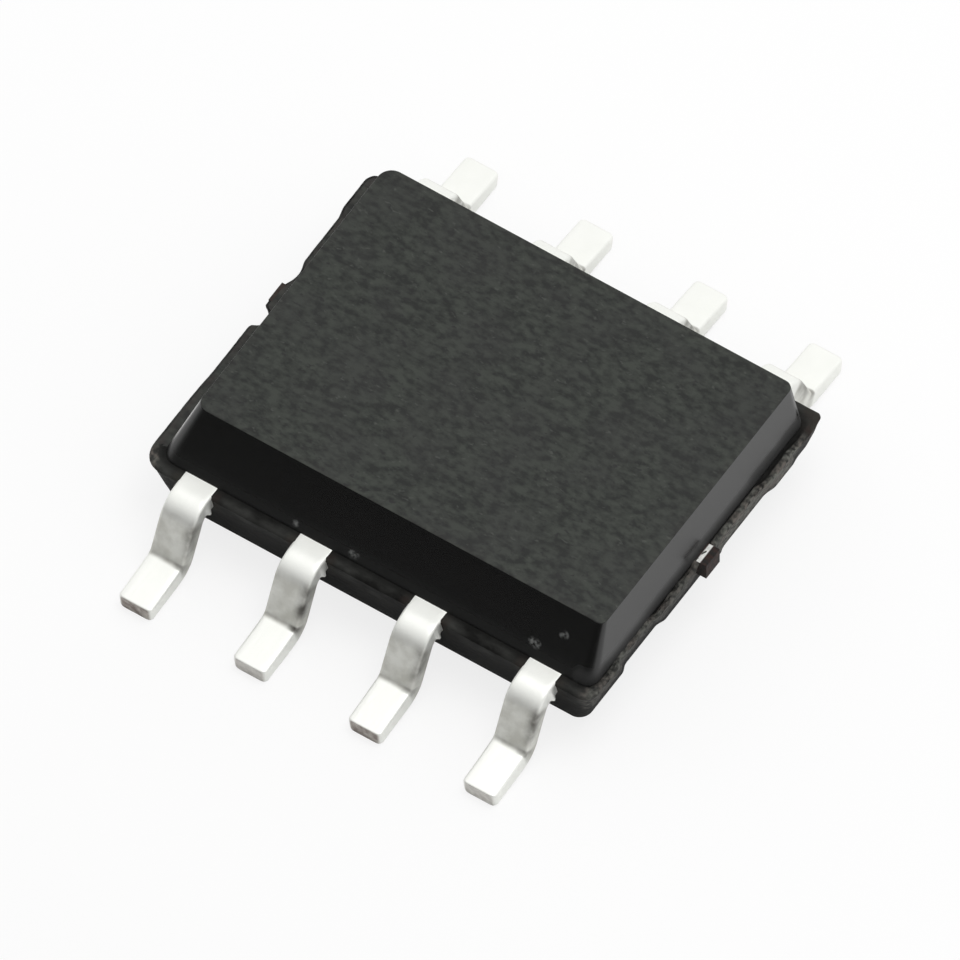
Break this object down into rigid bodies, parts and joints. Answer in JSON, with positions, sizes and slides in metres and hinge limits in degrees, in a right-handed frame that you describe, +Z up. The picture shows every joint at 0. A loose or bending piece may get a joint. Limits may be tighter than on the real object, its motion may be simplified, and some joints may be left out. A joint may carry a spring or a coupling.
{
  "type": "soic chip",
  "caption": "Small-outline surface-mount integrated circuit package with two rows of gull-wing leads and a bevelled black moulded body.",
  "frame": {"origin": "on the seating plane, at the middle of the two lead rows", "axes": "+X along the lead rows from lead 1 to lead 4, +Y across them from leads 1-4 to leads 5-8, +Z up from the board"},
  "size_m": [0.005, 0.006, 0.0014],
  "materials": {
    "mould_compound": "dull black epoxy with a fine speckle, smoother and darker on the bevelled side",
    "tin_plate": "satin tin plate over copper",
    "bare_copper": "bare copper strip, bright where it was punched",
    "silver_epoxy": "silver-filled adhesive",
    "silicon": "polished silicon",
    "gold_wire": "drawn gold wire"
  },
  "bodies": {
    "root": {"moulded_body": "mould_compound", "lead_1": "tin_plate", "lead_2": "tin_plate", "lead_3": "tin_plate", "lead_4": "tin_plate", "lead_5": "tin_plate", "lead_6": "tin_plate", "lead_7": "tin_plate", "lead_8": "tin_plate", "die_paddle": "bare_copper", "die_attach": "silver_epoxy", "silicon_die": "silicon", "bond_wire_1": "gold_wire", "bond_wire_2": "gold_wire", "bond_wire_3": "gold_wire", "bond_wire_4": "gold_wire", "bond_wire_5": "gold_wire", "bond_wire_6": "gold_wire", "bond_wire_7": "gold_wire", "bond_wire_8": "gold_wire"}
  },
  "joints": []
}
